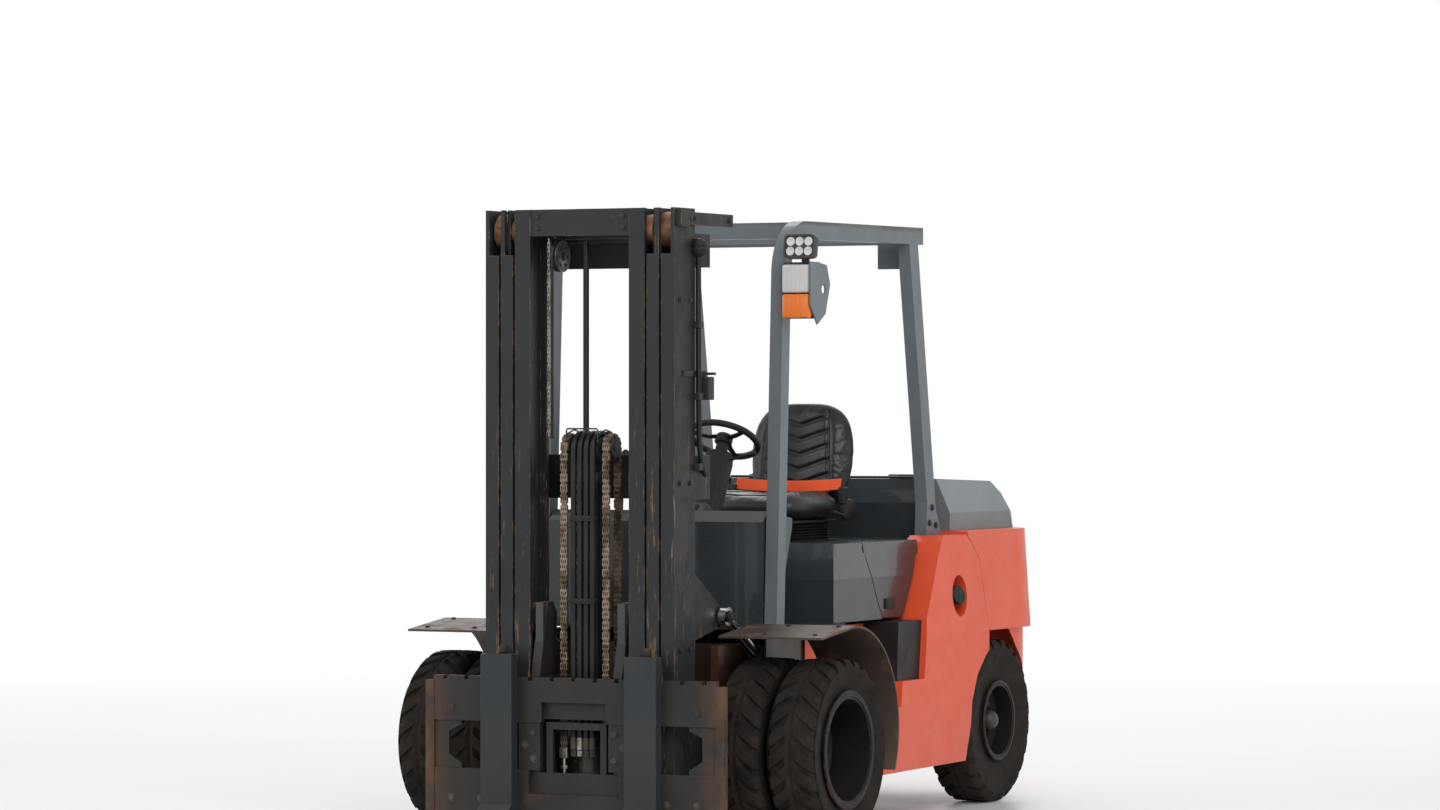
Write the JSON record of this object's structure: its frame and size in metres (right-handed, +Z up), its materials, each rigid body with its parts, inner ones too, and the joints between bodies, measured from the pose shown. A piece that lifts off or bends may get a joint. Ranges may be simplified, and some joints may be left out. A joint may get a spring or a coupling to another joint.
{
  "type": "diesel counterbalance forklift truck with a three-stage mast",
  "caption": "Counterbalance forklift with a triplex mast, side-shifting forks, twin front wheels, steered rear wheels, overhead guard, tilting hood and cast counterweight.",
  "frame": {"origin": "on the ground, at the centre of the truck's bounding box in plan", "axes": "+Z up, the truck faces -Y with its forks, +X is its left side"},
  "size_m": [1.712, 4.296, 2.291],
  "materials": {
    "body_orange": "semi-gloss",
    "counterweight_orange": "painted, semi-gloss",
    "dark_plastic": "satin",
    "axle_black": "painted, dusty",
    "rusty_plate": "rust-worn",
    "floor_grey": "worn",
    "hood_dark": "gloss, scuffed",
    "guard_grey": "satin",
    "seat_metal": "satin",
    "seat_vinyl": "satin vinyl",
    "engine": "oily",
    "cover_grey": "satin",
    "tyre": "dusty",
    "rim": "dusty",
    "mast_paint": "worn, rusty",
    "cylinder_black": "satin",
    "chrome_rod": "polished",
    "chain_steel": "greasy",
    "carriage_paint": "worn",
    "fork_steel": "smooth"
  },
  "bodies": {
    "chassis": {"chassis_frame": "body_orange", "step_panels": "dark_plastic", "drive_axle": "axle_black", "front_fenders": "rusty_plate", "floor_plate": "floor_grey", "cowl": "hood_dark", "steering_column": "dark_plastic", "overhead_guard": "guard_grey", "hood_front": "hood_dark", "engine_block": "engine", "counterweight": "counterweight_orange", "counterweight_cover": "cover_grey", "steer_axle": "axle_black", "front_lamps": "dark_plastic"},
    "hood": {"hood": "hood_dark", "seat_base": "seat_metal", "seat_cushion": "seat_vinyl", "seat_back": "seat_vinyl"},
    "steering_wheel": {"steering_wheel": "dark_plastic"},
    "knuckle_left": {"knuckle_left": "axle_black"},
    "knuckle_right": {"knuckle_right": "axle_black"},
    "rear_wheel_left": {"rear_tyre_left": "tyre", "rear_rim_left": "rim"},
    "rear_wheel_right": {"rear_tyre_right": "tyre", "rear_rim_right": "rim"},
    "front_wheel_left": {"front_tyres_left": "tyre", "front_rims_left": "rim"},
    "front_wheel_right": {"front_tyres_right": "tyre", "front_rims_right": "rim"},
    "mast_outer": {"mast_outer_rails": "mast_paint", "lift_barrels": "cylinder_black"},
    "mast_middle": {"mast_middle_rails": "mast_paint", "lift_rods": "chrome_rod"},
    "mast_inner": {"mast_inner_rails": "mast_paint", "free_lift_barrel": "cylinder_black"},
    "crosshead": {"crosshead": "mast_paint", "lift_chains": "chain_steel", "lift_hoses": "dark_plastic"},
    "carriage": {"carriage_back": "carriage_paint"},
    "fork_frame": {"fork_frame": "carriage_paint", "fork_left": "fork_steel", "fork_right": "fork_steel"},
    "tilt_barrel_left": {"tilt_barrel_left": "cylinder_black"},
    "tilt_barrel_right": {"tilt_barrel_right": "cylinder_black"},
    "tilt_rod_left": {"tilt_rod_left": "chrome_rod"},
    "tilt_rod_right": {"tilt_rod_right": "chrome_rod"}
  },
  "joints": [
    {"name": "mast_tilt", "type": "hinge", "parent": "chassis", "child": "mast_outer", "pos_m": [0, -0.522, 0.3], "axis": [1, 0, 0], "range_deg": [-11, 6]},
    {"name": "mast_middle_lift", "type": "slide", "parent": "mast_outer", "child": "mast_middle", "axis": [0, 0, 1], "range_m": [0, 1.65]},
    {"name": "mast_inner_lift", "type": "slide", "parent": "mast_middle", "child": "mast_inner", "axis": [0, 0, 1], "range_m": [0, 1.65]},
    {"name": "carriage_lift", "type": "slide", "parent": "mast_inner", "child": "carriage", "axis": [0, 0, 1], "range_m": [0, 1.3]},
    {"name": "crosshead_lift", "type": "slide", "parent": "mast_inner", "child": "crosshead", "axis": [0, 0, 1], "range_m": [0, 0.65]},
    {"name": "side_shift", "type": "slide", "parent": "carriage", "child": "fork_frame", "axis": [1, 0, 0], "range_m": [-0.1, 0.1]},
    {"name": "hood_hinge", "type": "hinge", "parent": "chassis", "child": "hood", "pos_m": [0, 1.318, 1.3], "axis": [-1, 0, 0], "range_deg": [0, 50]},
    {"name": "steering_wheel_turn", "type": "hinge", "parent": "chassis", "child": "steering_wheel", "pos_m": [0, 0.328, 1.45], "axis": [0, 0.5, 0.866], "range_deg": [-845, 845]},
    {"name": "steer_left", "type": "hinge", "parent": "chassis", "child": "knuckle_left", "pos_m": [0.375, 1.593, 0.325], "axis": [0, 0, 1], "range_deg": [-70, 70]},
    {"name": "rear_wheel_left_spin", "type": "hinge", "parent": "knuckle_left", "child": "rear_wheel_left", "pos_m": [0.5, 1.593, 0.325], "axis": [1, 0, 0], "continuous": true},
    {"name": "front_wheel_left_spin", "type": "hinge", "parent": "chassis", "child": "front_wheel_left", "pos_m": [0.65, -0.372, 0.33], "axis": [1, 0, 0], "continuous": true},
    {"name": "tilt_barrel_left_swing", "type": "hinge", "parent": "chassis", "child": "tilt_barrel_left", "pos_m": [0.39, 0.148, 0.47], "axis": [1, 0, 0], "range_deg": [-3.5, 3.5]},
    {"name": "tilt_rod_left_stroke", "type": "slide", "parent": "tilt_barrel_left", "child": "tilt_rod_left", "axis": [0, -0.8706, 0.4921], "range_m": [-0.1, 0.06]},
    {"name": "steer_right", "type": "hinge", "parent": "chassis", "child": "knuckle_right", "pos_m": [-0.375, 1.593, 0.325], "axis": [0, 0, 1], "range_deg": [-70, 70]},
    {"name": "rear_wheel_right_spin", "type": "hinge", "parent": "knuckle_right", "child": "rear_wheel_right", "pos_m": [-0.5, 1.593, 0.325], "axis": [1, 0, 0], "continuous": true},
    {"name": "front_wheel_right_spin", "type": "hinge", "parent": "chassis", "child": "front_wheel_right", "pos_m": [-0.65, -0.372, 0.33], "axis": [1, 0, 0], "continuous": true},
    {"name": "tilt_barrel_right_swing", "type": "hinge", "parent": "chassis", "child": "tilt_barrel_right", "pos_m": [-0.39, 0.148, 0.47], "axis": [1, 0, 0], "range_deg": [-3.5, 3.5]},
    {"name": "tilt_rod_right_stroke", "type": "slide", "parent": "tilt_barrel_right", "child": "tilt_rod_right", "axis": [0, -0.8706, 0.4921], "range_m": [-0.1, 0.06]}
  ],
  "couplings": [
    {"joint": "mast_inner_lift", "follows": "mast_middle_lift", "ratio": 1},
    {"joint": "crosshead_lift", "follows": "carriage_lift", "ratio": 0.5},
    {"joint": "steer_right", "follows": "steer_left", "ratio": 1},
    {"joint": "steering_wheel_turn", "follows": "steer_left", "ratio": -12},
    {"joint": "tilt_barrel_left_swing", "follows": "mast_tilt", "ratio": 0.255},
    {"joint": "tilt_rod_left_stroke", "follows": "mast_tilt", "m_per_rad": 0.48},
    {"joint": "tilt_barrel_right_swing", "follows": "mast_tilt", "ratio": 0.255},
    {"joint": "tilt_rod_right_stroke", "follows": "mast_tilt", "m_per_rad": 0.48}
  ]
}
